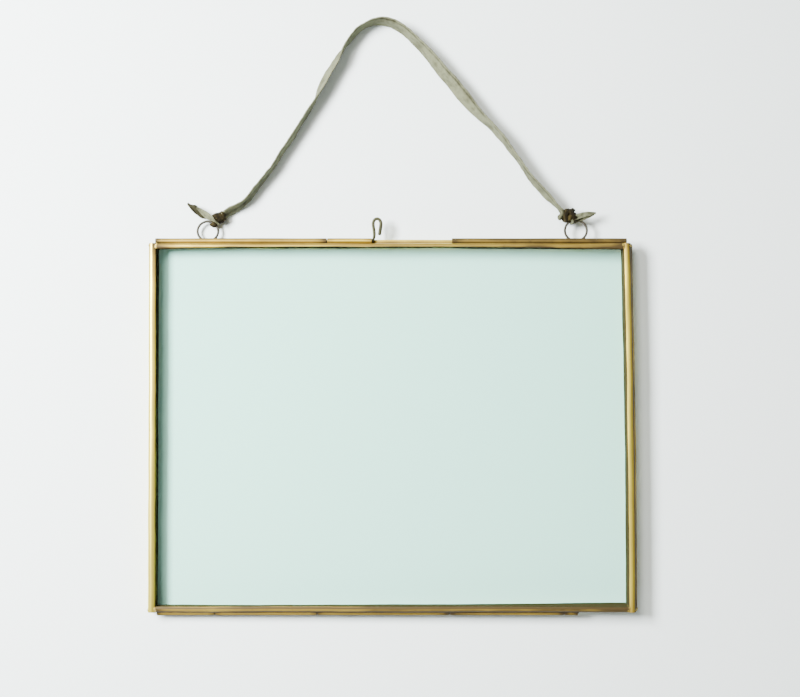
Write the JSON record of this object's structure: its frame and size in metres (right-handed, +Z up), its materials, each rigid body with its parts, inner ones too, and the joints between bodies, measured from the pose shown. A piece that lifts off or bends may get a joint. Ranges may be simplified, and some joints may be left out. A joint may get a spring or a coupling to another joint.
{
  "type": "hanging picture frame",
  "caption": "Hanging frame of two glass panes in thin brass channel, hinged along the bottom, pinned shut along the top, with a flat strap tied to two rings.",
  "frame": {"origin": "where the underside of the strap rests on the nail, in the plane of the two rings", "axes": "+X to the right seen from the front, +Y into the wall, +Z up"},
  "size_m": [0.207, 0.0087, 0.2569],
  "materials": {
    "brass": "aged brass, rubbed bright on the crowns, brown in the corners",
    "dark_brass": "dull dark wire",
    "glass": "clear, faintly green",
    "strap": "soft flat strap, olive grey",
    "knot": "soft strap, dark brown in its folds"
  },
  "bodies": {
    "hanger": {"ribbon": "strap", "knot_left": "knot", "knot_right": "knot", "tail_left": "strap", "tail_right": "strap", "ring_left": "dark_brass", "ring_right": "dark_brass"},
    "back_leaf": {"back_glass": "glass", "back_bar_top": "brass", "back_bar_bottom": "brass", "back_bar_left": "brass", "back_bar_right": "brass", "ring_staple_left": "brass", "ring_staple_right": "brass", "closure_tube_left": "brass", "closure_tube_right": "brass", "back_knuckle_left": "brass", "back_knuckle_centre": "brass", "back_knuckle_right": "brass", "hinge_wire": "dark_brass"},
    "front_leaf": {"front_glass": "glass", "front_bar_top": "brass", "front_bar_bottom": "brass", "front_bar_left": "brass", "front_bar_right": "brass", "front_knuckle_left": "brass", "front_knuckle_right": "brass", "latch_knuckle": "brass"},
    "latch_pin": {"latch_pin": "dark_brass"}
  },
  "joints": [
    {"name": "frame_swing", "type": "hinge", "parent": "hanger", "child": "back_leaf", "pos_m": [0, 0, -0.09455], "axis": [-1, 0, 0], "range_deg": [-125, 48]},
    {"name": "front_leaf_hinge", "type": "hinge", "parent": "back_leaf", "child": "front_leaf", "pos_m": [0, -0.0018, -0.25409], "axis": [1, 0, 0], "range_deg": [0, 180]},
    {"name": "latch_slide", "type": "slide", "parent": "back_leaf", "child": "latch_pin", "axis": [1, 0, 0], "range_m": [0, 0.0315]}
  ]
}
